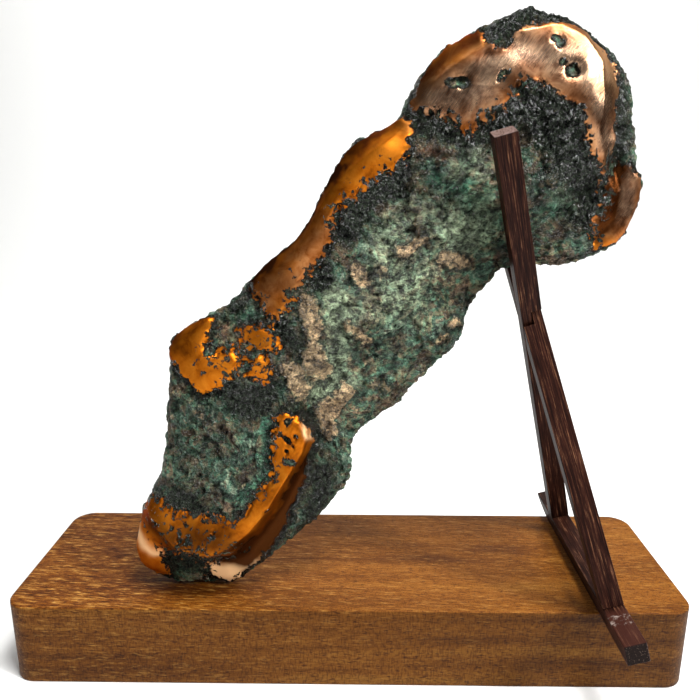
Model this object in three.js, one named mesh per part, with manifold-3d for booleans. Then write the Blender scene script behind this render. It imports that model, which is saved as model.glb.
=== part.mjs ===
// A float-copper nugget on display. It stands on its narrow foot on a hardwood slab and leans
// into the fork of a crossed wooden stand, which is tipped towards it on one edge of its foot rail.
// Millimetres, +Z up. The origin is the middle of the slab's underside, +X runs along the slab
// towards the stand, and -Y is the front.
import * as THREE from "three";
import { mergeVertices } from "three/addons/utils/BufferGeometryUtils.js";
import Module from "manifold-3d";

const wasm = await Module();
wasm.setup();

// ---- driving dimensions ----
const SLAB = { length: 314, depth: 90, height: 39.5, corner: 10.5, ease: 0.8 };
const TOUCH_GAP = 0.3; // pieces that rest on each other keep this gap

const STICK = { width: 9.2, depth: 7.5, length: 216 }; // section and length of a crossed stick
const RAIL = { front: -79.5, back: 55.5, toeRise: 7, toeLength: 16 }; // the foot rail, along Y
const STAND = { x: 112.6, tilt: 16 }; // where the rail's lower edge stands, and its tip to the left
const FRONT_STICK = { foot: -52, lean: 16 }; // stands at the front and leans back, in degrees
const BACK_STICK = { foot: 28, lean: 19.6 }; // stands at the back and leans forward
const LAP = { play: 1.7 }; // the half-lap's notches are cut this much too wide at the front

// The nugget's plane meets the slab at planeY and leans back by a few degrees. Round each section,
// a squareness of 1 makes an ellipse and a smaller one fills its corners out.
const NUGGET = { planeY: -23, lean: 1.7, squareness: 0.8, rings: 66, spokes: 56 };

// In the nugget's own plane u is X and v climbs from the slab's top, both in millimetres.
// Each station across it holds the left edge's u, v, the right edge's u, v, and how far the
// surface stands in front of the plane and behind it. The first and last stations are points.
const STATIONS = [
  [-71.2, 0.6, -71.2, 0.6, 0, 0],
  [-83.2, 1.8, -60.2, 1.2, 9, 8],
  [-92.7, 5.5, -51.2, 3, 13, 10],
  [-98.7, 11, -43.2, 9, 15.5, 11.5],
  [-100.7, 19, -34.2, 17, 17.5, 12.5],
  [-99.2, 28, -25.2, 24.5, 18.5, 13],
  [-96.2, 39, -15.7, 33.7, 18.5, 13],
  [-91.7, 49, -6.6, 43.2, 18, 13],
  [-86.2, 60, -0.1, 51.8, 17, 13],
  [-83.2, 73, 1.8, 59.4, 16, 13],
  [-82.7, 86, 1.4, 66.6, 15, 13],
  [-80.7, 98, 4.3, 76, 14.5, 13],
  [-80.3, 109, 13.6, 83.8, 14, 12.5],
  [-79.8, 117, 22.8, 91, 13.5, 12.5],
  [-73.8, 124.5, 29.9, 100.2, 13, 12],
  [-62.8, 131, 38.9, 109.2, 12.5, 12],
  [-52.8, 136, 46.8, 115.8, 12.5, 12],
  [-44.7, 145, 51.3, 124.6, 12.5, 11.5],
  [-35.2, 154.7, 53.6, 134.6, 12, 11],
  [-23.2, 164, 58.4, 142, 12, 11],
  [-15.2, 176, 66.8, 150.5, 12, 11],
  [-7.8, 191, 80.8, 153, 12.5, 11.5],
  [2.4, 203.6, 95.2, 152.6, 13, 12],
  [18.6, 212.4, 107.2, 158.2, 14, 12.5],
  [26, 225.2, 116, 163.8, 14.5, 13],
  [34.8, 237.4, 120.4, 173.6, 15, 13.5],
  [45.2, 244.3, 123, 185, 15, 13.5],
  [55, 248.2, 120, 197, 14.5, 13],
  [62.8, 251.8, 117.5, 209, 14, 12.5],
  [70.8, 255.1, 115.5, 222.5, 12.5, 11],
  [78.8, 252.8, 113, 230.5, 10.5, 9],
  [86.8, 251.3, 106.5, 237.5, 8, 6.5],
  [97.6, 245, 97.6, 245, 0, 0],
];

// Relief of the front: [path of u, v points, height, half-width] raises or sinks a soft band.
const FRONT_BANDS = [
  [[[-27, 89], [-23, 77], [-27, 62], [-37, 47], [-47, 36], [-60, 29], [-76, 28], [-90, 42]], 2.2, 6],
  [[[-64, 52], [-58, 66], [-48, 84]], -2.5, 14],
  [[[-72, 116], [-62, 112]], 2.5, 11],
  [[[-56, 132], [-46, 122]], -2.5, 7],
  [[[-41, 142], [-30, 150], [-14, 168], [0, 187], [13, 199]], 2, 6],
  [[[-30, 100], [10, 128], [45, 150], [85, 178]], -2.2, 17],
  [[[50, 222], [78, 226], [96, 216]], 3.5, 19],
  [[[35, 219], [50, 234], [61, 239], [74, 245], [90, 244], [102, 232]], 1.8, 4.5],
  [[[108, 194], [113, 182], [111, 171], [103, 164]], -4, 4],
  [[[42, 225], [43, 226]], -1.8, 3.5],
  [[[85, 230], [86, 229]], -1.8, 3],
];
const BACK_BANDS = [
  [[[-70, 30], [-50, 60], [-45, 90]], 3, 20],
  [[[-30, 45], [-12, 62]], -3, 11],
  [[[-20, 120], [20, 140]], -3, 16],
  [[[30, 112], [60, 150]], 2, 10],
  [[[60, 200], [92, 215]], 3.5, 22],
  [[[20, 185], [45, 205]], -2, 12],
];
// The foot's front stands proud up to a crest line, and outside it falls away: steeply to a thinner
// flange on the right, more gently round the bottom. Each point holds u, v, the fall, and the
// distance that the fall takes.
const FOOT_CREST = [
  [-32, 100, 0, 6],
  [-24, 89, 8, 6],
  [-20, 77, 12, 7],
  [-24, 62, 12, 8],
  [-35, 46, 12, 9],
  [-46, 34, 11, 11],
  [-60, 26, 9, 14],
  [-76, 26, 8, 15],
  [-90, 38, 6, 10],
  [-97, 50, 3, 8],
  [-104, 62, 0, 8],
];
// Where the fork grips it, the nugget's lower edge thins to a wedge.
const PINCH = { u: 71, v: 152, reachU: 24, reachV: 17, share: 0.42 };

// ---- helpers ----
const rad = THREE.MathUtils.degToRad;

function solidOf(geometry) {
  const bare = geometry.clone();
  bare.deleteAttribute("normal");
  bare.deleteAttribute("uv");
  const merged = mergeVertices(bare, 1e-4);
  return new wasm.Manifold(
    new wasm.Mesh({
      numProp: 3,
      vertProperties: new Float32Array(merged.attributes.position.array),
      triVerts: new Uint32Array(merged.index.array),
    }),
  );
}

function geometryOf(solid) {
  const mesh = solid.getMesh();
  const geometry = new THREE.BufferGeometry();
  geometry.setAttribute("position", new THREE.BufferAttribute(mesh.vertProperties, 3));
  geometry.setIndex(new THREE.BufferAttribute(mesh.triVerts, 1));
  geometry.computeVertexNormals();
  return geometry;
}

function piece(name, geometry, colour, roughness, metalness = 0) {
  const material = new THREE.MeshStandardMaterial({ color: colour, roughness, metalness });
  const mesh = new THREE.Mesh(geometry, material);
  mesh.name = name;
  return mesh;
}

// ---- the slab: a long board with rounded corners and eased edges ----
function slabGeometry() {
  const w = SLAB.length / 2 - SLAB.ease;
  const d = SLAB.depth / 2 - SLAB.ease;
  const r = SLAB.corner - SLAB.ease;
  const outline = new THREE.Shape();
  outline.moveTo(-w + r, -d);
  outline.absarc(w - r, -d + r, r, -Math.PI / 2, 0);
  outline.absarc(w - r, d - r, r, 0, Math.PI / 2);
  outline.absarc(-w + r, d - r, r, Math.PI / 2, Math.PI);
  outline.absarc(-w + r, -d + r, r, Math.PI, 1.5 * Math.PI);
  const board = new THREE.ExtrudeGeometry(outline, {
    depth: SLAB.height - 2 * SLAB.ease,
    curveSegments: 8,
    bevelSize: SLAB.ease,
    bevelThickness: SLAB.ease,
    bevelSegments: 3,
  });
  return board.translate(0, 0, SLAB.ease);
}

// ---- the stand, in its own frame: x across the sticks, y along the rail, z up the sticks ----
// A flat outline in y, z, made as thick as a stick is wide.
function plankFromSide(points, x0 = 0, width = STICK.width) {
  const outline = new THREE.Shape(points.map(([y, z]) => new THREE.Vector2(y, z)));
  const plank = new THREE.ExtrudeGeometry(outline, { depth: width, bevelEnabled: false });
  // The outline's x, y become y, z, and the extrusion runs along x.
  plank.applyMatrix4(new THREE.Matrix4().set(0, 0, 1, x0, 1, 0, 0, 0, 0, 1, 0, 0, 0, 0, 0, 1));
  return plank;
}

// A stick's side outline, grown by some margin. Its foot is sawn level, just above the rail's top,
// and its top end is sawn square. Direction is 1 for a stick that leans back, -1 for forward.
function stickOutline({ foot, lean }, direction, growFront = 0, growBack = 0) {
  const angle = rad(lean) * direction;
  const atFoot = (offset) => [
    foot + offset / Math.cos(angle) + TOUCH_GAP * Math.tan(angle),
    STICK.width + TOUCH_GAP,
  ];
  const atTop = (offset) => [
    foot + STICK.length * Math.sin(angle) + offset * Math.cos(angle),
    STICK.width + STICK.length * Math.cos(angle) - offset * Math.sin(angle),
  ];
  const front = -STICK.depth / 2 - growFront;
  const back = STICK.depth / 2 + growBack;
  return [atFoot(front), atFoot(back), atTop(back), atTop(front)];
}

// The rail's underside curves up to a thin toe at the back end.
function railOutline() {
  const points = [
    [RAIL.front, 0],
    [RAIL.back - RAIL.toeLength, 0],
  ];
  for (let i = 1; i <= 6; i++) {
    const t = i / 6;
    points.push([RAIL.back - RAIL.toeLength * (1 - t), RAIL.toeRise * t * t]);
  }
  points.push([RAIL.back, STICK.width], [RAIL.front, STICK.width]);
  return points;
}

function standGeometries() {
  const half = STICK.width / 2;
  const whole = (stick, direction, ...grow) =>
    solidOf(plankFromSide(stickOutline(stick, direction, ...grow)));
  // What one stick clears from the other: one half of the width, a little too wide at the front.
  const clearance = (stick, direction, x0, width) =>
    solidOf(plankFromSide(stickOutline(stick, direction, LAP.play, TOUCH_GAP), x0, width));
  const leftHalf = [-1, half + 1 + TOUCH_GAP / 2];
  const rightHalf = [half - TOUCH_GAP / 2, half + 1 + TOUCH_GAP / 2];
  const front = whole(FRONT_STICK, 1).subtract(clearance(BACK_STICK, -1, ...leftHalf));
  const back = whole(BACK_STICK, -1).subtract(clearance(FRONT_STICK, 1, ...rightHalf));
  return {
    rail: plankFromSide(railOutline()),
    front: geometryOf(front),
    back: geometryOf(back),
  };
}

// ---- the nugget ----
// The stations' values at a place between two of them, by a Catmull-Rom curve.
function stationAt(t) {
  const i = Math.min(Math.floor(t), STATIONS.length - 2);
  const f = t - i;
  const at = (k) => STATIONS[THREE.MathUtils.clamp(k, 0, STATIONS.length - 1)];
  const [a, b, c, d] = [at(i - 1), at(i), at(i + 1), at(i + 2)];
  return b.map((_, k) => {
    const slope = c[k] - a[k];
    const bend = 2 * a[k] - 5 * b[k] + 4 * c[k] - d[k];
    const twist = 3 * (b[k] - c[k]) + d[k] - a[k];
    return b[k] + 0.5 * f * (slope + f * (bend + f * twist));
  });
}

// The distance from a point to a path, its side (1 on the right of the path's direction, -1 on the
// left), and the values that the path's points carry after u and v, at the nearest place.
function nearPath(u, v, path) {
  let best = { distance: Infinity, side: 1, carried: [] };
  for (let i = 0; i + 1 < path.length; i++) {
    const [a, b] = [path[i], path[i + 1]];
    const [du, dv] = [b[0] - a[0], b[1] - a[1]];
    const t = THREE.MathUtils.clamp(((u - a[0]) * du + (v - a[1]) * dv) / (du * du + dv * dv), 0, 1);
    const [eu, ev] = [u - a[0] - t * du, v - a[1] - t * dv];
    const distance = Math.hypot(eu, ev);
    if (distance >= best.distance) continue;
    const carried = a.slice(2).map((value, k) => value + t * (b[k + 2] - value));
    best = { distance, side: du * ev - dv * eu < 0 ? 1 : -1, carried };
  }
  return best;
}

// The soft bands' sum at a point.
function relief(u, v, bands) {
  return bands.reduce(
    (sum, [path, height, width]) => sum + height * Math.exp(-((nearPath(u, v, path).distance / width) ** 2)),
    0,
  );
}

function fallOutsideCrest(u, v) {
  const { distance, side, carried } = nearPath(u, v, FOOT_CREST);
  const [fall, reach] = carried;
  return side > 0 ? 0 : fall * THREE.MathUtils.smoothstep(distance, 0, reach);
}

// A point of the nugget, from its station t and its angle round the ring: 0 is the right edge,
// a quarter turn the front, half a turn the left edge.
function nuggetPoint(t, angle) {
  const [leftU, leftV, rightU, rightV, front, back] = stationAt(t);
  const across = Math.cos(angle);
  const u = (leftU + rightU) / 2 + ((rightU - leftU) / 2) * across;
  const v = (leftV + rightV) / 2 + ((rightV - leftV) / 2) * across;
  const isFront = Math.sin(angle) >= 0;
  const thickness = isFront ? front : back;
  const shaped = isFront ? relief(u, v, FRONT_BANDS) - fallOutsideCrest(u, v) : relief(u, v, BACK_BANDS);
  const waves = 0.9 * Math.sin(0.11 * u + 0.06 * v + 1) * Math.sin(0.12 * v - 0.05 * u + 2);
  const grip = Math.exp(-(((u - PINCH.u) / PINCH.reachU) ** 2) - ((v - PINCH.v) / PINCH.reachV) ** 2);
  const fade = Math.min(1, thickness / 10); // the relief dies out at the two ends
  const rounding = Math.abs(Math.sin(angle)) ** NUGGET.squareness;
  const depth = (thickness + (shaped + waves) * fade) * rounding * (1 - PINCH.share * grip);
  const w = isFront ? depth : -depth;
  const lean = rad(NUGGET.lean);
  return [
    u,
    NUGGET.planeY + v * Math.sin(lean) - w * Math.cos(lean),
    SLAB.height + v * Math.cos(lean) + w * Math.sin(lean),
  ];
}

function nuggetGeometry() {
  const last = STATIONS.length - 1;
  const points = [nuggetPoint(0, 0)];
  for (let ring = 1; ring < NUGGET.rings; ring++) {
    // Rings crowd towards the two ends, where the outline closes.
    const s = ring / NUGGET.rings;
    const t = last * (0.8 * s + 0.1 * (1 - Math.cos(Math.PI * s)));
    for (let k = 0; k < NUGGET.spokes; k++) points.push(nuggetPoint(t, (2 * Math.PI * k) / NUGGET.spokes));
  }
  points.push(nuggetPoint(last, 0));
  const lowest = Math.min(...points.map((p) => p[2]));
  const lift = SLAB.height + TOUCH_GAP - lowest;
  const position = new Float32Array(points.flatMap(([x, y, z]) => [x, y, z + lift]));
  const at = (ring, k) => 1 + (ring - 1) * NUGGET.spokes + (k % NUGGET.spokes);
  const index = [];
  for (let k = 0; k < NUGGET.spokes; k++) {
    index.push(0, at(1, k), at(1, k + 1));
    index.push(points.length - 1, at(NUGGET.rings - 1, k + 1), at(NUGGET.rings - 1, k));
    for (let ring = 1; ring < NUGGET.rings - 1; ring++) {
      const [a, b, c, d] = [at(ring, k), at(ring, k + 1), at(ring + 1, k + 1), at(ring + 1, k)];
      index.push(a, c, b, a, d, c);
    }
  }
  const geometry = new THREE.BufferGeometry();
  geometry.setAttribute("position", new THREE.BufferAttribute(position, 3));
  geometry.setIndex(index);
  return geometry;
}

// What the fork keeps clear of the nugget: both sticks, grown by the touching gap.
function forkClearance(matrix) {
  const grown = (stick, direction) => {
    const outline = stickOutline(stick, direction, TOUCH_GAP, TOUCH_GAP);
    return solidOf(plankFromSide(outline, -TOUCH_GAP, STICK.width + 2 * TOUCH_GAP).applyMatrix4(matrix));
  };
  return grown(FRONT_STICK, 1).add(grown(BACK_STICK, -1));
}

// ---- assembly ----
const stand = new THREE.Group();
stand.position.set(STAND.x, 0, SLAB.height + TOUCH_GAP);
stand.rotation.y = -rad(STAND.tilt);
stand.updateMatrixWorld(true);

const sticks = standGeometries();
stand.add(
  piece("foot_rail", sticks.rail, 0x4a2f28, 0.7),
  piece("front_stick", sticks.front, 0x3b241c, 0.65),
  piece("back_stick", sticks.back, 0x3b241c, 0.65),
);

const nugget = solidOf(nuggetGeometry()).subtract(forkClearance(stand.matrixWorld));

const group = new THREE.Group();
group.add(
  piece("base_slab", slabGeometry(), 0x8a5a2b, 0.55),
  piece("copper_nugget", geometryOf(nugget), 0x4d5a45, 0.6, 0.4),
  stand,
);

export default group;
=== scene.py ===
"""The looks of a native copper nugget that leans in a crossed wooden stand on a hardwood slab.

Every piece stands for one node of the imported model. Shapes are worked out in millimetres, in the
model's own frame: +X along the slab towards the stand, -Y the front, +Z up, and the origin under
the middle of the slab. They become metres when a mesh is made.
"""

import itertools
import math

import bpy
import numpy as np
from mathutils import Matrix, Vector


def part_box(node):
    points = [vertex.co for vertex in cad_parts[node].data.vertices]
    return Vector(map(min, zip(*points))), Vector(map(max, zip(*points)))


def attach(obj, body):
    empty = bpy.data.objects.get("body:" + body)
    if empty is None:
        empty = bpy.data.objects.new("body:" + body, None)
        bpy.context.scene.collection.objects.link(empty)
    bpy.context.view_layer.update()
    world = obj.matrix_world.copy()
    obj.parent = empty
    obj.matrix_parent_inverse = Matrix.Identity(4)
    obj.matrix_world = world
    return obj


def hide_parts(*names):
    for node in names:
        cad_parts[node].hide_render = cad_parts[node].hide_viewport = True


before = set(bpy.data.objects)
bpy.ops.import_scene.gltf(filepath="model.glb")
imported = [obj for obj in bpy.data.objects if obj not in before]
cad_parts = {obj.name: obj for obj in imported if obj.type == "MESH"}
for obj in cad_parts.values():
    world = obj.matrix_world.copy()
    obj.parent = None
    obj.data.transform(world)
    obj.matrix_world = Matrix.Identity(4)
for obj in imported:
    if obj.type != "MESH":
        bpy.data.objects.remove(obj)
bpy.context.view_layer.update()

MM = 0.001


def node_box_mm(name):
    """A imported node's lowest and highest corners, in millimetres."""
    return [np.array(corner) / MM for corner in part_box(name)]


# ---------------------------------------------------------------- sizes, in millimetres
SLAB_LOW, SLAB_HIGH = node_box_mm("base_slab")
SLAB_TOP = SLAB_HIGH[2]
SLAB_CORNER = 10.5
SLAB_EASE = 0.7
TOUCH_GAP = 0.3

STICK_WIDTH = 9.2
STICK_DEPTH = 7.5
STICK_LENGTH = 216.0
STAND_X = 112.6
STAND_TILT = math.radians(16.0)
RAIL_FRONT, RAIL_BACK = -79.5, 55.5
TOE_RISE, TOE_LENGTH = 7.0, 16.0
# foot place along the rail, lean, and which way it leans going up: +1 back, -1 forward
FRONT_STICK = {"foot": -52.0, "lean": math.radians(16.0), "way": 1}
BACK_STICK = {"foot": 28.0, "lean": math.radians(19.6), "way": -1}
LAP_PLAY = 1.7
# the nugget touches the sticks only this high up the stand, and this close
FORK_FROM = 100.0
FORK_GAP = 0.15

NUGGET_Y = -23.0
NUGGET_LEAN = math.radians(1.7)
SQUARENESS = 0.8
SPOKES = 300
RINGS = 328
# the crust may come this close to the slab
REST_GAP = 0.05

# In the nugget's own plane u is X and v climbs from the slab's top. Each station across it holds
# the left edge's u, v, the right edge's u, v, and how far the surface stands in front of the
# plane and behind it. The first and last stations are points.
STATIONS = np.array([
    [-71.2, 0.6, -71.2, 0.6, 0, 0],
    [-83.2, 1.8, -60.2, 1.2, 9, 8],
    [-92.7, 5.5, -51.2, 3, 13, 10],
    [-98.7, 11, -43.2, 9, 15.5, 11.5],
    [-100.7, 19, -34.2, 17, 17.5, 12.5],
    [-99.2, 28, -25.2, 24.5, 18.5, 13],
    [-96.2, 39, -15.7, 33.7, 18.5, 13],
    [-91.7, 49, -6.6, 43.2, 18, 13],
    [-86.2, 60, -0.1, 51.8, 17, 13],
    [-83.2, 73, 1.8, 59.4, 16, 13],
    [-82.7, 86, 1.4, 66.6, 15, 13],
    [-80.7, 98, 4.3, 76, 14.5, 13],
    [-80.3, 109, 13.6, 83.8, 14, 12.5],
    [-79.8, 117, 22.8, 91, 13.5, 12.5],
    [-73.8, 124.5, 29.9, 100.2, 13, 12],
    [-62.8, 131, 38.9, 109.2, 12.5, 12],
    [-52.8, 136, 46.8, 115.8, 12.5, 12],
    [-44.7, 145, 51.3, 124.6, 12.5, 11.5],
    [-35.2, 154.7, 53.6, 134.6, 12, 11],
    [-23.2, 164, 58.4, 142, 12, 11],
    [-15.2, 176, 66.8, 150.5, 12, 11],
    [-7.8, 191, 80.8, 153, 12.5, 11.5],
    [2.4, 203.6, 95.2, 152.6, 13, 12],
    [18.6, 212.4, 107.2, 158.2, 14, 12.5],
    [26, 225.2, 116, 163.8, 14.5, 13],
    [34.8, 237.4, 120.4, 173.6, 15, 13.5],
    [45.2, 244.3, 123, 185, 15, 13.5],
    [55, 248.2, 120, 197, 14.5, 13],
    [62.8, 251.8, 117.5, 209, 14, 12.5],
    [70.8, 255.1, 115.5, 222.5, 12.5, 11],
    [78.8, 252.8, 113, 230.5, 10.5, 9],
    [86.8, 251.3, 106.5, 237.5, 8, 6.5],
    [97.6, 245, 97.6, 245, 0, 0],
])

# Soft swellings and hollows: (path of u, v points), height, half-width.
FRONT_SWELLINGS = [
    ([(-26, 89), (-22, 77), (-26, 62), (-36, 47), (-46, 36), (-59, 29), (-75, 28), (-89, 42)],
     2.4, 6),
    ([(-63, 52), (-57, 66), (-47, 84)], -2.5, 14),
    ([(-69, 118), (-61, 108)], 3.0, 10),
    ([(-55, 132), (-45, 122)], -2.5, 7),
    ([(-40, 142), (-29, 150), (-13, 168), (1, 187), (14, 199)], 2.0, 7),
    ([(-29, 100), (11, 128), (46, 150), (86, 178)], -2.2, 17),
    ([(51, 222), (79, 228), (93, 218)], 3.5, 17),
    ([(109, 196), (114, 184), (112, 173), (104, 164)], -3.5, 3.5),
    ([(43, 225), (44, 226)], -1.6, 3.5),
    ([(86, 229), (87, 229)], -1.6, 3.0),
    ([(-59, 2), (-47, 11), (-32, 23), (-17, 36), (-5, 48)], 2.2, 3.5),
    ([(57, 247), (67, 252)], 3.0, 7),
]
BACK_SWELLINGS = [
    ([(-70, 30), (-50, 60), (-45, 90)], 3.0, 20),
    ([(-30, 45), (-12, 62)], -3.0, 11),
    ([(-20, 120), (20, 140)], -3.0, 16),
    ([(30, 112), (60, 150)], 2.0, 10),
    ([(60, 200), (92, 215)], 3.5, 22),
    ([(20, 185), (45, 205)], -2.0, 12),
]
# Crest lines of the front. On the left of each path the surface falls away. Each point holds u, v,
# the fall, and the distance that the fall takes.
CRESTS = [
    [(-29, 98, 0, 6), (-22, 89, 7, 6), (-18, 80, 11, 7), (-20, 72, 12, 7), (-25, 64, 12, 8),
     (-30, 56, 12, 9), (-36, 46, 12, 9), (-44, 36, 11, 11), (-53, 28, 10, 13), (-62, 25, 9, 14),
     (-75, 26, 8, 15), (-89, 38, 6, 10), (-96, 50, 3, 8), (-103, 62, 0, 8)],
    [(-83, 108, 0, 4), (-77, 117, 3, 5), (-70, 125, 4, 5), (-62, 128, 3, 5), (-55, 129, 0, 4)],
    [(-45, 140, 0, 5), (-35, 149, 4, 6), (-27, 155, 5, 7), (-20, 162, 5, 6), (-15, 172, 5, 6),
     (-8, 184, 6, 7), (0, 192, 7, 8), (9, 199, 8, 9), (16, 204, 7, 9), (23, 210, 0, 6)],
    [(25, 215, 0, 6), (30, 221, 6, 8), (34, 226, 7, 9), (41, 231.5, 7, 10), (48, 236, 6, 9),
     (55, 239, 3, 7), (62, 239, 1, 6), (67, 244, 3, 7), (81, 247, 5, 8), (91, 242, 7, 10),
     (98, 233, 8, 13), (99, 220, 8, 14), (98, 208, 7, 13), (102, 197, 4, 10), (107, 186, 0, 8)],
]
PINCH = {"u": 71, "v": 152, "reach_u": 24, "reach_v": 17, "share": 0.42}

# Where the front's copper is bare: outlines of u, v. Where one meets the nugget's edge it runs past.
BARE_FRONT = {
    "left lobe": [(-83, 112), (-79, 126), (-65, 135), (-60, 131), (-61, 123), (-63, 117), (-57, 115),
                  (-52, 117), (-47, 113), (-50, 107), (-56, 102), (-64, 98), (-70, 105), (-76, 110)],
    "upper lobe island": [(-47, 126), (-39, 127), (-32, 124), (-30, 120), (-37, 118), (-43, 120)],
    "lower lobe island": [(-42, 112), (-35, 113), (-33, 108), (-36, 103), (-41, 106)],
    "long rim": [(-48, 146), (-39, 157), (-27, 167), (-19, 180), (-11, 194), (-2, 204), (9, 212),
                 (20, 217), (26, 211), (22, 198), (18, 193), (12, 190), (5, 186), (1, 181),
                 (-5, 178), (-8, 172), (-7, 164), (-12, 156), (-18, 151), (-23, 145), (-24, 138),
                 (-31, 132), (-36, 136), (-38, 141)],
    "head": [(25, 217), (27, 231), (37, 242), (47, 247), (52, 246), (54, 240), (57, 237), (61, 238),
             (64, 243), (75, 248), (86, 248), (94, 244), (100, 239), (105, 232), (109, 223),
             (107, 216), (106, 209), (108, 203), (104, 192), (98, 198), (93, 208), (91, 216),
             (83, 219), (75, 225), (67, 226), (63, 220), (58, 215), (51, 211), (46, 206),
             (42, 212), (37, 215), (30, 216)],
    "head's low rim": [(106, 189), (109, 195), (116, 194), (123, 187), (123, 172), (115, 161),
                       (105, 160), (105, 171), (108, 180)],
    "foot": [(-31, 88), (-27, 91), (-20, 87), (-16, 81), (-16, 73), (-18, 64), (-21, 55), (-25, 45),
             (-29, 35), (-34, 25), (-43, 14), (-56, 3), (-65, 6), (-64, 12), (-56, 17), (-61, 24),
             (-71, 29), (-80, 25), (-88, 22), (-86, 14), (-85, 6), (-96, 8), (-104, 20),
             (-103, 42), (-95, 49), (-87, 48), (-77, 42), (-68, 42), (-59, 41), (-51, 40),
             (-43, 46), (-40, 53), (-33, 59), (-32, 71), (-31, 80)],
}
# Islands of crust inside them: paths of u, v and half-width.
CRUST_ISLANDS = [
    [(-26, 86, 1.9)],
    [(-28, 79, 1.2), (-26, 77, 1.3)],
    [(-23, 80, 1.4)],
    [(-24, 75, 1.0)],
    [(-27, 73, 0.9)],
    [(-27, 68.5, 1.8), (-24, 68, 1.8)],
    [(-36, 46, 1.0)],
    [(40, 225, 2.2), (45, 225, 2.4)],
    [(60, 229, 1.5), (58, 226, 1.0)],
    [(79, 241, 1.6), (81, 239, 1.8)],
    [(82, 232, 1.6)],
    [(86, 229, 2.8)],
    [(-84, 33, 1.6)],
    [(-75, 32, 2.0), (-71, 31, 1.8)],
    [(-65, 29, 2.0)],
    [(-56, 25, 1.4)],
    [(-61, 35, 1.3)],
    [(-87, 37, 1.1)],
    [(-79, 37, 0.9)],
]
# Bare copper on the back: paths of u, v and half-width.
BARE_BACK = [
    [(-76, 66, 5), (-68, 95, 6), (-60, 110, 7)],
    [(-18, 140, 6), (-2, 158, 6), (14, 180, 7), (36, 202, 8)],
    [(42, 224, 8), (64, 230, 11), (84, 224, 12), (96, 206, 9), (100, 188, 6)],
    [(-80, 30, 7), (-60, 32, 9), (-40, 46, 7)],
]

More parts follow.
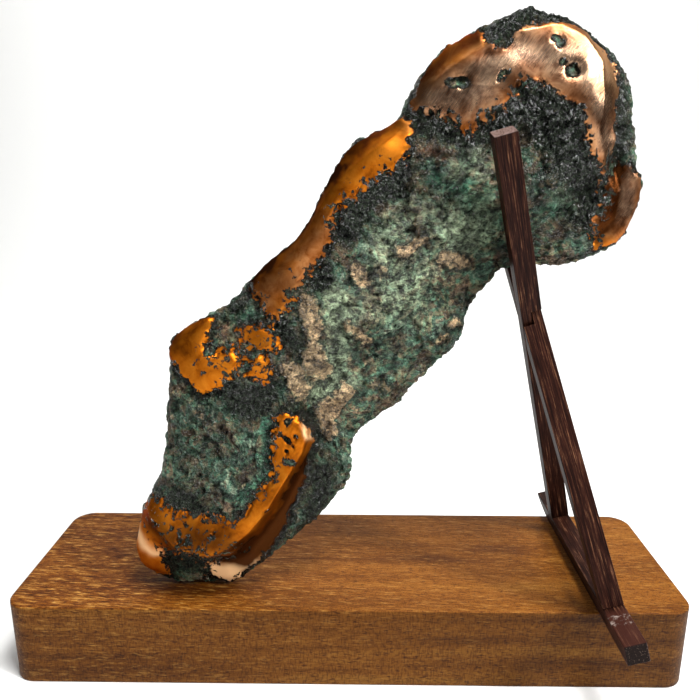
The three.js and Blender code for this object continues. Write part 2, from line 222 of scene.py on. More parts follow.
# Tints of the metal and of the crust: soft bands or spots, as a strength and a path of u, v and
# half-width.
TINTS = {
    # bare metal
    # rose: fresh copper, its pale pink partly a painted reflection of white surroundings
    "rose": [
        (1.3, [(-61, 9, 5), (-53, 9, 6), (-45, 13, 4)]),
        (0.9, [(-99, 38, 1.4), (-99, 30, 1.8), (-95, 22, 2.2), (-89, 19, 1.8)]),
        (0.9, [(-18, 85, 1.1), (-16, 77, 1.1)]),
        # a painted highlight on the head, where the right lamp's reflection lies
        (0.4, [(97, 240, 5), (103, 226, 5)]),
    ],
    "bronze": [
        (1.0, [(35, 220, 8), (49, 222, 10), (61, 234, 9), (75, 236, 10), (87, 232, 12),
               (97, 226, 9)]),
        (0.9, [(100, 214, 7), (102, 203, 6)]),
        (1.1, [(112, 192, 7), (114, 176, 7)]),
        (0.35, [(-36, 141, 6), (-22, 150, 6), (-10, 168, 5)]),
    ],
    # dark: brown tarnish in bands, partly a painted reflection of dark surroundings on rims that face
    # up and left
    "dark": [
        (1.3, [(-17, 66, 3), (-22, 54, 5), (-27, 40, 6), (-37, 27, 6), (-49, 17, 5), (-59, 18, 3)]),
        (1.6, [(-45, 148, 4), (-34, 157, 4), (-24, 168, 4), (-17, 180, 4.5), (-8, 194, 4)]),
        (0.9, [(-4, 199, 4), (4, 205, 4), (16, 212, 4)]),
        (0.8, [(28, 222, 4), (33, 232, 5), (42, 239, 5), (50, 243, 4)]),
        (0.5, [(-33, 140, 6), (-27, 147, 5)]),
        (0.6, [(-79, 118, 3), (-73, 127, 3), (-65, 131, 3)]),
        (1.2, [(110, 193, 5), (110, 180, 5.5), (108, 168, 4)]),
        (0.8, [(62, 225, 3), (66, 222, 3)]),
        (0.8, [(-90, 36, 6), (-80, 31, 6), (-66, 33, 6), (-52, 30, 5)]),
        (0.5, [(88, 226, 3), (92, 214, 3)]),
        (0.6, [(104, 214, 3), (105, 224, 3)]),
    ],
    # crust
    "malachite": [
        (0.45, [(-13, 104, 11), (6, 130, 13), (30, 150, 14), (50, 168, 10)]),
        (1.1, [(-11, 148, 4), (-5, 138, 5), (-3, 128, 5)]),
        (0.9, [(-7, 114, 5), (-9, 100, 5), (-1, 101, 5)]),
        (0.8, [(-17, 106, 4), (-15, 96, 4)]),
        (0.8, [(43, 194, 5), (51, 198, 5), (53, 192, 4)]),
        (0.6, [(13, 166, 8), (23, 178, 8), (35, 178, 8)]),
        (0.6, [(57, 176, 8), (49, 166, 8)]),
        (0.6, [(87, 182, 6), (93, 174, 6)]),
        (0.4, [(19, 148, 12), (31, 128, 10)]),
        (0.5, [(-39, 76, 3), (-37, 64, 3), (-44, 54, 4)]),
        (0.3, [(-73, 62, 9)]),
        (0.3, [(-59, 76, 9)]),
    ],
    "tan": [
        (1.1, [(-15, 114, 5), (-11, 108, 4)]),
        (1.0, [(-17, 137, 5), (-14, 126, 4)]),
        (1.0, [(-1, 97, 4), (-7, 91, 4)]),
        (0.9, [(-21, 99, 5), (-25, 108, 4)]),
        (0.8, [(-12, 84, 5), (-7, 76, 4)]),
        (0.9, [(22, 160, 3.5), (30, 164, 3.5)]),
        (0.9, [(39, 157, 3), (48, 154, 3.5)]),
        (0.8, [(3, 152, 4), (7, 145, 3)]),
        (0.7, [(15, 150, 3.5)]),
        (0.7, [(1, 127, 3.5), (9, 120, 3)]),
        (0.6, [(-65, 90, 4)]),
        (0.6, [(-47, 58, 4)]),
        (0.6, [(81, 190, 5)]),
        (0.6, [(17, 98, 5)]),
        (0.6, [(47, 128, 5), (41, 120, 4)]),
    ],
    "teal": [
        (1.2, [(-35, 86, 2.5), (-36, 74, 2.5), (-37, 62, 2.5), (-45, 52, 3)]),
        (0.9, [(-51, 96, 4), (-41, 101, 4), (-29, 98, 4)]),
        (0.8, [(-47, 130, 4), (-39, 134, 4)]),
        (0.9, [(35, 188, 6), (47, 182, 6), (58, 172, 6)]),
        (0.8, [(85, 176, 5), (95, 186, 5)]),
        (0.7, [(-5, 152, 3), (-19, 128, 3)]),
        (0.6, [(27, 108, 6), (15, 108, 5)]),
        (0.6, [(99, 200, 3), (107, 200, 3)]),
        (0.5, [(-61, 66, 10)]),
    ],
    "rust": [
        (0.8, [(26, 202, 4), (34, 200, 4), (39, 196, 3)]),
        (0.8, [(-51, 124, 5), (-43, 122, 6), (-35, 119, 5)]),
        (0.7, [(-49, 106, 4), (-43, 104, 4), (-37, 109, 4)]),
        (0.5, [(-65, 88, 4)]),
        (0.6, [(-29, 128, 4), (-41, 138, 3)]),
        (0.4, [(61, 222, 4)]),
    ],
    "soot": [
        # this broad weak band darkens the crust at the lower left: partly soot, partly painted shade
        # where less light falls
        (0.55, [(-76, 52, 15), (-66, 78, 15), (-58, 96, 10), (-38, 92, 6)]),
        (0.55, [(-34, 124, 8), (-8, 158, 7), (14, 182, 8)]),
        (0.55, [(-24, 48, 10), (-12, 68, 9)]),
        (0.45, [(50, 206, 7), (86, 190, 10), (92, 172, 8)]),
        (0.45, [(34, 182, 7), (48, 176, 8), (62, 166, 8)]),
        (0.40, [(20, 96, 7), (46, 122, 6), (54, 142, 6)]),
        (1.2, [(23, 196, 6), (13, 186, 6), (3, 178, 5), (-1, 168, 4)]),
        (1.2, [(27, 212, 5), (35, 209, 5), (43, 204, 4)]),
        (1.1, [(53, 207, 5), (63, 216, 7), (75, 218, 7), (87, 214, 6)]),
        (1.2, [(93, 206, 5), (97, 196, 7), (103, 184, 6), (102, 172, 5)]),
        (1.0, [(109, 230, 5), (111, 214, 6), (111, 200, 6)]),
        (1.1, [(-11, 150, 5)]),
        (0.9, [(-21, 118, 5), (-27, 126, 4)]),
        (0.8, [(-31, 104, 6), (-35, 96, 6)]),
        (1.1, [(-85, 16, 8), (-73, 18, 8), (-63, 20, 5)]),
        (0.9, [(-59, 38, 5), (-75, 46, 6)]),
        (0.9, [(-84, 33, 5), (-72, 31, 5), (-62, 30, 4)]),
        (1.1, [(51, 243, 6), (59, 246, 8), (73, 254, 6), (91, 250, 5)]),
        (0.8, [(-17, 34, 6), (-29, 18, 6), (-45, 8, 6), (-61, 3, 6)]),
        (0.8, [(-9, 56, 7), (-11, 44, 6)]),
        (0.8, [(-43, 92, 6), (-53, 104, 5)]),
        (0.9, [(-51, 134, 5), (-43, 140, 4)]),
        (0.7, [(89, 196, 7), (77, 206, 6)]),
    ],
    # where the edge of the bare metal is most broken
    "ragged": [
        (1.0, [(-60, 112, 6), (-48, 114, 8), (-37, 117, 7)]),
        (1.1, [(-92, 40, 7), (-82, 35, 8), (-70, 33, 8), (-58, 33, 7)]),
        (0.8, [(-67, 14, 6), (-78, 18, 6)]),
        (1.1, [(-86, 27, 5), (-74, 24, 5), (-60, 24, 5), (-50, 22, 4)]),
        (0.7, [(-7, 176, 5), (3, 184, 5), (15, 194, 6)]),
        (0.6, [(-19, 152, 5), (-27, 140, 7), (-37, 140, 6)]),
        (0.6, [(37, 213, 4), (49, 212, 5), (65, 223, 5)]),
        (0.6, [(97, 208, 4), (101, 200, 4)]),
        (0.5, [(-33, 84, 4), (-33, 66, 4), (-41, 50, 4)]),
        (0.8, [(107, 194, 4), (104, 168, 4)]),
    ],
}


# ---------------------------------------------------------------- noise
# A turn that keeps the lattices of successive layers out of line.
TURN = np.array([[0.36, 0.48, -0.80], [-0.80, 0.60, 0.00], [0.48, 0.64, 0.60]])


def scatter(cell, seed):
    """A fixed random number from -1 to 1 for each whole-number place: the place is hashed."""
    x, y, z = (cell[..., k].astype(np.uint32) for k in range(3))
    h = x * np.uint32(0x27D4EB2D) ^ y * np.uint32(0x165667B1) ^ z * np.uint32(0x9E3779B1)
    h = h + np.uint32(seed * 0x1F123BB5 % 2**32)
    h = (h ^ (h >> np.uint32(15))) * np.uint32(0x2C1B3C6D)
    h = (h ^ (h >> np.uint32(12))) * np.uint32(0x297A2D39)
    h = h ^ (h >> np.uint32(15))
    return h / 2.0**31 - 1.0


def soft_noise(places, size, seed):
    """Smooth noise from -1 to 1 in lumps of a size: random values at the corners of a lattice,
    blended across each cell with an ease-in, ease-out weight."""
    q = places / size
    cell = np.floor(q).astype(np.int64)
    f = q - cell
    f = f * f * f * (f * (f * 6 - 15) + 10)
    total = np.zeros(places.shape[:-1])
    for corner in itertools.product((0, 1), repeat=3):
        weight = np.prod(np.where(np.array(corner) == 1, f, 1 - f), axis=-1)
        total += weight * scatter(cell + np.array(corner), seed)
    return total


def layered_noise(places, size, layers, seed, keep=0.55):
    """Soft noise at a size and at halves of it, each layer weaker and turned against the last."""
    total, weight, turned = np.zeros(places.shape[:-1]), 1.0, places
    for layer in range(layers):
        total += weight * soft_noise(turned, size / 2**layer, seed + layer)
        weight *= keep
        turned = turned @ TURN
    return total


def broken_flakes(places, size, seed):
    """Flakes packed together like a broken crust. Each point belongs to the nearest of one
    scattered point per cell, and each flake is a plane with its own tilt and height. Returns the
    height, from about -1 to 1, and the gap between the two nearest distances, which is 0 on the
    line between two flakes."""
    q = places / size
    cell = np.floor(q).astype(np.int64)
    nearest, second = (np.full(places.shape[:-1], 9.0) for _ in range(2))
    height = np.zeros(places.shape[:-1])
    for step in itertools.product((-1, 0, 1), repeat=3):
        here = cell + np.array(step)
        own = np.stack([scatter(here, seed + k) for k in range(3)], axis=-1)
        off = q - here - 0.5 - 0.45 * own
        distance = np.sqrt(np.sum(off**2, axis=-1))
        closer = distance < nearest
        second = np.where(closer, nearest, np.minimum(second, distance))
        plane = 0.5 * scatter(here, seed + 3) + np.sum(off * own[..., ::-1], axis=-1)
        height = np.where(closer, plane, height)
        nearest = np.where(closer, distance, nearest)
    return height, second - nearest


def ease(x, low=0.0, high=1.0):
    """0 below low, 1 above high, and a smooth S between."""
    t = np.clip((x - low) / (high - low), 0, 1)
    return t * t * (3 - 2 * t)


# ---------------------------------------------------------------- meshes
def put_piece(name, points, faces, material, node, attributes=None, smooth=True):
    """Makes one piece from points in millimetres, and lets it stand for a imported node."""
    mesh = bpy.data.meshes.new(name)
    mesh.from_pydata((np.asarray(points) * MM).tolist(), [], faces)
    mesh.polygons.foreach_set("use_smooth", np.full(len(mesh.polygons), smooth))
    for key, values in (attributes or {}).items():
        kind, field = ("FLOAT", "value") if values.ndim == 1 else ("FLOAT_VECTOR", "vector")
        layer = mesh.attributes.new(key, kind, "POINT")
        layer.data.foreach_set(field, values.astype(np.float32).ravel())
    mesh.materials.append(material)
    mesh.update()
    piece = bpy.data.objects.new(name, mesh)
    bpy.context.scene.collection.objects.link(piece)
    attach(piece, "root")
    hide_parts(node)
    return piece


def tube_faces(rows, around):
    """Quads between successive closed rings of a grid whose points are numbered row by row."""
    row, spoke = np.meshgrid(np.arange(rows - 1), np.arange(around), indexing="ij")
    here = row * around
    after = (spoke + 1) % around
    quads = np.stack([here + spoke, here + around + spoke, here + around + after, here + after], -1)
    return quads.reshape(-1, 4)


def fan_faces(ring, tip, flip):
    """Triangles from each edge of a ring to one tip point."""
    after = np.roll(ring, -1)
    order = (after, ring) if flip else (ring, after)
    return np.column_stack([*order, np.full(len(ring), tip)])


# ---------------------------------------------------------------- the nugget's form
def near_path(u, v, path):
    """For each point, the distance to a path of straight stretches, the side of it (1 right, -1
    left), and what the path's points carry after u and v at the nearest place."""
    path = np.array(path if len(path) > 1 else path * 2, float)
    distance = np.full(u.shape, np.inf)
    side = np.ones(u.shape)
    carried = np.zeros(u.shape + (path.shape[1] - 2,))
    for a, b in zip(path[:-1], path[1:]):
        du, dv = (b - a)[:2]
        length_squared = max(du * du + dv * dv, 1e-9)
        along = np.clip(((u - a[0]) * du + (v - a[1]) * dv) / length_squared, 0, 1)
        eu, ev = u - a[0] - along * du, v - a[1] - along * dv
        d = np.hypot(eu, ev)
        closer = d < distance
        distance = np.where(closer, d, distance)
        side = np.where(closer, np.where(du * ev - dv * eu < 0, 1.0, -1.0), side)
        carried = np.where(closer[..., None], a[2:] + along[..., None] * (b - a)[2:], carried)
    return distance, side, carried


def stations_at(t):
    """The stations' values at places between them, by a Catmull-Rom curve."""
    last = len(STATIONS) - 1
    i = np.minimum(np.floor(t).astype(int), last - 1)
    f = (t - i)[:, None]
    a, b, c, d = (STATIONS[np.clip(i + k, 0, last)] for k in (-1, 0, 1, 2))
    return b + 0.5 * f * (c - a + f * (2 * a - 5 * b + 4 * c - d + f * (3 * (b - c) + d - a)))


def even_rings():
    """Station places that lie evenly along the nugget, by the mean travel of its two edges."""
    t = np.linspace(0, len(STATIONS) - 1, 4001)
    edges = stations_at(t)[:, :4]
    step = np.diff(edges, axis=0)
    travel = 0.5 * (np.hypot(step[:, 0], step[:, 1]) + np.hypot(step[:, 2], step[:, 3]))
    length = np.concatenate([[0], np.cumsum(travel)])
    return np.interp(np.arange(1, RINGS + 1) / (RINGS + 1) * length[-1], length, t)


def even_spokes():
    """Angles that lie evenly round an ellipse three times as wide as it is thick, and twice as
    close together on the front as on the back."""
    angle = np.linspace(0, 2 * np.pi, 3601)
    step = np.hypot(np.diff(3 * np.cos(angle)), np.diff(np.sin(angle)))
    step *= np.where(angle[1:] <= np.pi, 2, 1)
    length = np.concatenate([[0], np.cumsum(step)])
    return np.interp(np.arange(SPOKES) / SPOKES * length[-1], length, angle)


def swell(u, v, swellings):
    """The sum of soft swellings: each is its height times a bell of the distance to its path."""
    total = np.zeros(u.shape)
    for path, height, width in swellings:
        total += height * np.exp(-((near_path(u, v, path)[0] / width) ** 2))
    return total


def fall(u, v):
    """How far the front falls away on the left of its crest lines. It falls at once, so that the
    crest is crisp, and levels out at the end of its reach."""
    total = np.zeros(u.shape)
    for path in CRESTS:
        distance, side, carried = near_path(u, v, path)
        reach = np.maximum(carried[..., 1], 0.1)
        share = np.clip(distance / reach, 0, 1)
        total += np.where(side < 0, carried[..., 0] * share * (2 - share), 0)
    return total


def smooth_form(t, angle):
    """The nugget without its crust, on a grid of rings by spokes. Each section is a squared
    ellipse between the edges, its depth swelled and cut by the relief. Returns u, v, the points,
    and how much each point belongs to the front, from 0 to 1."""
    row = stations_at(t)
    left, right = row[:, None, 0:2], row[:, None, 2:4]
    across, rise = np.cos(angle)[None, :], np.sin(angle)[None, :]
    u = (left[..., 0] + right[..., 0]) / 2 + (right[..., 0] - left[..., 0]) / 2 * across
    v = (left[..., 1] + right[..., 1]) / 2 + (right[..., 1] - left[..., 1]) / 2 * across
    is_front = rise >= 0
    thickness = np.where(is_front, row[:, None, 4], row[:, None, 5])
    front_relief = swell(u, v, FRONT_SWELLINGS) - fall(u, v)
    relief = np.where(is_front, front_relief, swell(u, v, BACK_SWELLINGS))
    waves = 0.9 * np.sin(0.11 * u + 0.06 * v + 1) * np.sin(0.12 * v - 0.05 * u + 2)
    grip = np.exp(-(((u - PINCH["u"]) / PINCH["reach_u"]) ** 2)
                  - ((v - PINCH["v"]) / PINCH["reach_v"]) ** 2)
    fade = np.minimum(1, thickness / 10)
    depth = (thickness + (relief + waves) * fade) * np.abs(rise) ** SQUARENESS
    depth = depth * (1 - PINCH["share"] * grip)
    w = np.where(is_front, depth, -depth)
    points = np.stack([
        u,
        NUGGET_Y + v * math.sin(NUGGET_LEAN) - w * math.cos(NUGGET_LEAN),
        SLAB_TOP + v * math.cos(NUGGET_LEAN) + w * math.sin(NUGGET_LEAN),
    ], axis=-1)
    return u, v, points, ease(rise, -0.35, 0.35) * np.ones(u.shape)


def outward(points):
    """Unit normals of a grid of rings, from its differences along and around."""
    along = np.gradient(points, axis=0)
    around = np.roll(points, -1, axis=1) - np.roll(points, 1, axis=1)
    normal = np.cross(along, around)
    return normal / np.maximum(np.linalg.norm(normal, axis=-1, keepdims=True), 1e-9)


def inside_outline(u, v, outline):
    """How deep each point lies inside a closed outline, negative outside: the distance to it,
    signed by how many of its sides a level line from the point crosses."""
    closed = list(outline) + [outline[0]]
    inside = np.zeros(u.shape, bool)
    for (au, av), (bu, bv) in zip(closed[:-1], closed[1:]):
        if av != bv:
            crossing = au + (v - av) * (bu - au) / (bv - av)
            inside ^= ((av > v) != (bv > v)) & (u < crossing)
    return np.where(inside, 1, -1) * near_path(u, v, closed)[0]


def inside_band(u, v, path):
    """How deep each point lies inside a band round a path: the half-width less the distance."""
    distance, _, carried = near_path(u, v, path)
    return carried[..., 0] - distance


def bare_copper(u, v, points, front):
    """How deep each point lies inside bare copper, in millimetres, negative under crust. The
    outlines wander with noise, the back's patches are broken up by more of it, and the front
    fades into the back round the edge. On the front the depth stops at 4 mm, and it falls three
    times as fast inside an island of crust."""
    wander_u = 0.9 * layered_noise(points, 5.0, 2, 11)
    wander_v = 0.9 * layered_noise(points, 5.0, 2, 21)
    face = np.max([inside_outline(u + wander_u, v + wander_v, outline)
                   for outline in BARE_FRONT.values()], axis=0)
    islands = np.max([inside_band(u + 0.4 * wander_u, v + 0.4 * wander_v, path)
                      for path in CRUST_ISLANDS], axis=0)
    behind = np.max([inside_band(u + 2 * wander_u, v + 2 * wander_v, path)
                     for path in BARE_BACK], axis=0)
    behind += 5 * layered_noise(points, 9.0, 4, 27, 0.7) - 1
    face = np.minimum(np.minimum(face, 4.0), -3 * islands)
    return behind + (face - behind) * front


def tint(u, v, bands, points, seed):
    """The strength of a tint: soft bands whose edges wander with noise."""
    wander = 1.8 * layered_noise(points, 6.0, 3, seed)
    total = np.zeros(u.shape)
    for strength, path in bands:
        distance, _, carried = near_path(u + wander, v - wander, path)
        total += strength * np.exp(-((distance / (1.3 * carried[..., 0])) ** 2))
    return np.clip(total, 0, 1.2)


def crust_relief(points, bare, tan):
    """The crust's height over the smooth form, in millimetres: lumps, broken flakes in two sizes
    with cracks between, wrinkles and grit where there is crust, thicker scabs where it is tan,
    and only faint dents on bare copper."""
    crusted = 1 - ease(bare, -0.6, 1.0)
    lumps = layered_noise(points, 13.0, 2, 31)
    bend = 1.2 * np.stack([layered_noise(points, 4.0, 2, seed) for seed in (41, 43, 45)], axis=-1)
    large, large_gap = broken_flakes(points + bend, 7.0, 47)
    small, small_gap = broken_flakes((points + 0.6 * bend) @ TURN, 3.2, 51)
    cracks = ease(large_gap, 0.0, 0.14) + 0.3 * ease(small_gap, 0.0, 0.25) - 1.1
    wrinkles = 0.25 - np.abs(layered_noise(points, 4.0, 3, 61))
    grit = layered_noise(points, 1.8, 2, 65)
    scabs = ease(tan + 0.30 * layered_noise(points, 3.4, 2, 71), 0.42, 0.50)
    rough = 0.7 * lumps + 0.9 * large + 0.4 * small + 0.7 * cracks + 0.6 * wrinkles + 0.45 * grit
    rough = rough * (1 - 0.3 * scabs) + 0.6 * scabs
    return crusted * (rough - 0.6) + (1 - crusted) * (0.15 * lumps - 0.15)


def stand_axes():
    """The tipped stand's own x, y and z directions, as rows."""
    c, s = math.cos(STAND_TILT), math.sin(STAND_TILT)
    return np.array([[c, 0, s], [0, 1, 0], [-s, 0, c]])


STAND_ORIGIN = np.array([STAND_X, 0, SLAB_TOP + TOUCH_GAP])


def stick_line(stick):
    """A stick's foot, its direction and its crosswise normal, in the stand's y, z plane."""
    sine, cosine = stick["way"] * math.sin(stick["lean"]), math.cos(stick["lean"])
    return np.array([stick["foot"], STICK_WIDTH]), np.array([sine, cosine]), np.array([cosine, -sine])


def keep_off_sticks(points):
    """Pushes the nugget's points out of the two sticks that it leans between: each point inside a
    stick moves across it to the face that the nugget lies against. Beside a stick the push dies
    out with the distance from it."""
    local = (points - STAND_ORIGIN) @ stand_axes().T
    x = local[..., 0]
    beside = np.maximum(np.maximum(-TOUCH_GAP - x, x - STICK_WIDTH - TOUCH_GAP), 0)
    for stick in (FRONT_STICK, BACK_STICK):
        foot, _, normal = stick_line(stick)
        across = (local[..., 1:] - foot) @ normal
        limit = STICK_DEPTH / 2 + FORK_GAP - 1.2 * beside
        # the nugget lies in front of the front stick's upper end, and behind the back stick's
        push = -np.maximum(across + limit, 0) if stick["way"] > 0 else np.maximum(limit - across, 0)
        push = np.where((limit > 0) & (np.abs(across) < 2.5 * STICK_DEPTH), push, 0)
        push = np.where((stick["way"] > 0) & (across > STICK_DEPTH), 0, push)
        push = np.where((stick["way"] < 0) & (across < -STICK_DEPTH), 0, push)
        in_fork = local[..., 2] > FORK_FROM
        local[..., 1:] += np.where(in_fork, push, 0)[..., None] * normal
    return STAND_ORIGIN + local @ stand_axes()


def nugget(material):
    """The nugget: its smooth form on a grid of even rings and spokes, lifted along its normals by
    the crust, kept off the sticks and the slab, and closed by a point at each end."""
    rings, spokes = even_rings(), even_spokes()
    u, v, points, front = smooth_form(rings, spokes)
    lift = SLAB_TOP + TOUCH_GAP - points[..., 2].min()
    points[..., 2] += lift
    bare = bare_copper(u, v, points, front)
    tints = {name: tint(u, v, bands, points, 81 + 7 * k)
             for k, (name, bands) in enumerate(TINTS.items())}
    relief = crust_relief(points, bare, tints["tan"])
    points = points + outward(points) * relief[..., None]
    points = keep_off_sticks(points)
    points[..., 2] = np.maximum(points[..., 2], SLAB_TOP + REST_GAP)

    def with_tips(values):
        """A grid's values as one list, with the mean of the first and last ring for the tips."""
        flat = values.reshape(-1, *values.shape[2:])
        return np.concatenate([flat, values[:1].mean(axis=1), values[-1:].mean(axis=1)])

    count = RINGS * SPOKES
    faces = tube_faces(RINGS, SPOKES).tolist()
    faces += fan_faces(np.arange(SPOKES), count, False).tolist()
    faces += fan_faces(np.arange(count - SPOKES, count), count + 1, True).tolist()
    attributes = {"bare": with_tips(bare), "relief": with_tips(relief)}
    attributes |= {name: with_tips(tints[name]) for name in TINTS}
    return put_piece("nugget", with_tips(points), faces, material, "copper_nugget",
                     attributes)


# ---------------------------------------------------------------- the slab
def rounded_outline(inset, places):
    """Points round the slab's plan, moved in by an inset: straight sides and quarter-circle
    corners, walked anticlockwise at shares of the way round from 0 to 1."""
    half_x = (SLAB_HIGH[0] - SLAB_LOW[0]) / 2
    half_y = (SLAB_HIGH[1] - SLAB_LOW[1]) / 2
    straight_x, straight_y = 2 * (half_x - SLAB_CORNER), 2 * (half_y - SLAB_CORNER)
    arc = math.pi / 2 * SLAB_CORNER
    centres = np.array([[1, -1], [1, 1], [-1, 1], [-1, -1]]) * [straight_x / 2, straight_y / 2]
    lengths = [straight_y, arc, straight_x, arc, straight_y, arc, straight_x, arc]
    marks = np.concatenate([[0], np.cumsum(lengths)])
    walk = places * marks[-1]
    outline = np.zeros((len(places), 2))
    for k in range(4):
        way = k * math.pi / 2
        normal = np.array([math.cos(way), math.sin(way)])
        along = np.array([-normal[1], normal[0]])
        start, turn, end = marks[2 * k], marks[2 * k + 1], marks[2 * k + 2]
        on_side = (walk >= start) & (walk < turn)
        radius = SLAB_CORNER - inset
        outline[on_side] = centres[k] + radius * normal + (walk[on_side] - start)[:, None] * along
        on_arc = (walk >= turn) & (walk < end)
        angle = way + (walk[on_arc] - turn) / arc * math.pi / 2
        centre = centres[(k + 1) % 4]
        outline[on_arc] = centre + radius * np.column_stack([np.cos(angle), np.sin(angle)])
    return outline


def slab(material):
    """The slab: its plan outline carried over the profile from the middle of the underside, out
    and up the side, over eased edges, to the middle of the top. The arris round the top is worn
    back a little by noise, and rare deep dips of noise make nicks in it."""
    around = 560
    places = np.arange(around) / around
    ease_turn = np.radians([0, 22.5, 45, 67.5, 90])
    bottom = [(SLAB_EASE * (1 - math.sin(a)), SLAB_EASE * (1 - math.cos(a))) for a in ease_turn]
    height = SLAB_TOP
    side = [(0.0, z) for z in np.linspace(SLAB_EASE, height - SLAB_EASE, 9)[1:-1]]
    top = [(inset, height - z) for inset, z in reversed(bottom)]
    profile = [(8.0, 0.0), (2.2, 0.0), *bottom, *side, *top, (2.2, height), (8.0, height)]
    rows = []
    for inset, z in profile:
        plan = rounded_outline(inset, places)
        rows.append(np.column_stack([plan, np.full(around, z)]))
    points = np.array(rows)
    nick = ease(layered_noise(points, 3.2, 2, 5), 0.95, 1.45)
    worn = 0.12 * layered_noise(points, 18.0, 2, 9)
    from_top, inset = height - points[..., 2], np.array(profile)[:, :1]
    near_arris = ease(1.6 - np.abs(0.4 - from_top)) * (inset < 2)
    cut = near_arris * (0.55 * nick + np.clip(worn, 0, 1))
    middle = np.array([0, 0, height / 2])
    inward = middle - points
    inward /= np.linalg.norm(inward * [0.2, 1, 1], axis=-1, keepdims=True)
    points = points + inward * [0.0, 1, 1] * cut[..., None]
    count = len(profile) * around
    tips = np.array([[0, 0, 0], [0, 0, height]], float)
    quads = tube_faces(len(profile), around)[:, ::-1]
    faces = quads.tolist()
    faces += fan_faces(np.arange(around), count, True).tolist()
    faces += fan_faces(np.arange(count - around, count), count + 1, False).tolist()
    flat = np.concatenate([points.reshape(-1, 3), tips])
    return put_piece("slab", flat, faces, material, "base_slab")


# ---------------------------------------------------------------- the stand
def rounded_section(low, high, radius=0.35, steps=3):
    """A rectangle's outline with rounded corners, anticlockwise, as x, e pairs: at each corner a
    quarter turn round a centre that lies inside it by the radius."""
    low, high = np.array(low, float), np.array(high, float)
    is_high = np.array([[1, 0], [1, 1], [0, 1], [0, 0]], bool)
    centres = np.where(is_high, high - radius, low + radius)
    angle = np.radians(90 * np.arange(-1, 3)[:, None] + np.linspace(0, 90, steps))
    arcs = centres[:, None] + radius * np.stack([np.cos(angle), np.sin(angle)], axis=-1)
    return arcs.reshape(-1, 2)


def carry_section(sections, to_model, end_share=1.0):
    """A bar: outlines carried along it, each moved to its place, closed by flat ends. Sections
    hold the outline's x, e pairs and, for each of its points, how far along the bar it lies.
    Returns the points, the faces, and the two things that the wood's pattern follows: the place
    in the bar (across, deep, along, in metres), and a share on the sawn ends."""
    rows = np.array([to_model(outline[:, 0], outline[:, 1], along) for outline, along in sections])
    around = rows.shape[1]
    faces = tube_faces(len(rows), around)[:, ::-1].tolist()
    faces.append(list(range(around - 1, -1, -1)))
    last = (len(rows) - 1) * around
    faces.append([last + k for k in range(around)])
    grain = np.array([np.column_stack([outline, along]) for outline, along in sections]) * MM
    sawn = np.zeros(rows.shape[:2])
    sawn[[0, -1]] = end_share
    return rows.reshape(-1, 3), faces, {"grain": grain.reshape(-1, 3), "sawn_end": sawn.ravel()}


def stand_to_model(local):
    """From the stand's own frame to the model's."""
    return STAND_ORIGIN + local @ stand_axes()


def stick(name, this, other, open_left, material):
    """A stick of the crossed pair. It is sawn level at the foot and square at the top, and where
    the other stick crosses it, half its width is notched away between two slanting shoulders."""
    foot, direction, normal = stick_line(this)
    other_foot, _, other_normal = stick_line(other)

    def place(x, e, along):
        """A point of the stick, across it, deep and along it, in the model's frame."""
        yz = foot + along[:, None] * direction + e[:, None] * normal
        return stand_to_model(np.column_stack([x, yz]))

    def shoulder(offset):
        """Along the stick, as a start and a slope over e, where the other stick's face crosses."""
        rate = direction @ other_normal
        return (offset - (foot - other_foot) @ other_normal) / rate, -(normal @ other_normal) / rate

    level = (TOUCH_GAP / direction[1], math.tan(this["lean"]) * this["way"])
    cuts = sorted([shoulder(-STICK_DEPTH / 2 - LAP_PLAY), shoulder(STICK_DEPTH / 2 + TOUCH_GAP)])
    half = STICK_WIDTH / 2 + TOUCH_GAP / 2
    kept = (half, STICK_WIDTH) if open_left else (0, STICK_WIDTH - half)
    low_e, high_e = -STICK_DEPTH / 2, STICK_DEPTH / 2
    full = rounded_section((0, low_e), (STICK_WIDTH, high_e))
    notched = rounded_section((kept[0], low_e), (kept[1], high_e))
    ends_eased = rounded_section((0.25, low_e + 0.25), (STICK_WIDTH - 0.25, high_e - 0.25))
    square = (STICK_LENGTH, 0.0)

    def station(outline, cut, shift=0.0):
        """An outline that lies on a slanting cut, moved along the stick by a shift."""
        return outline, cut[0] + shift + cut[1] * outline[:, 1]

    def between(first, second, outline, count):
        """Outlines at even steps from one cut to another."""
        start, end = (cut[0] + cut[1] * outline[:, 1] for cut in (first, second))
        return [(outline, start * (1 - f) + end * f) for f in np.linspace(0, 1, count + 2)[1:-1]]

    sections = [station(ends_eased, level), station(full, level, 0.25)]
    sections += between(level, cuts[0], full, 24)
    sections += [station(full, cuts[0], -0.05), station(notched, cuts[0]), station(notched, cuts[1])]
    sections += [station(full, cuts[1], 0.05)]
    sections += between(cuts[1], square, full, 24)
    sections += [station(full, square, -0.25), station(ends_eased, square)]
    points, faces, pattern = carry_section(sections, place)
    pattern["grain"][:, 0] += 0.1 if this["way"] > 0 else 0.2
    pattern["worn"] = np.zeros(len(points))
    return put_piece(f"{name}_stick_wood", points, faces, material,
                     f"{name}_stick", pattern, smooth=False)


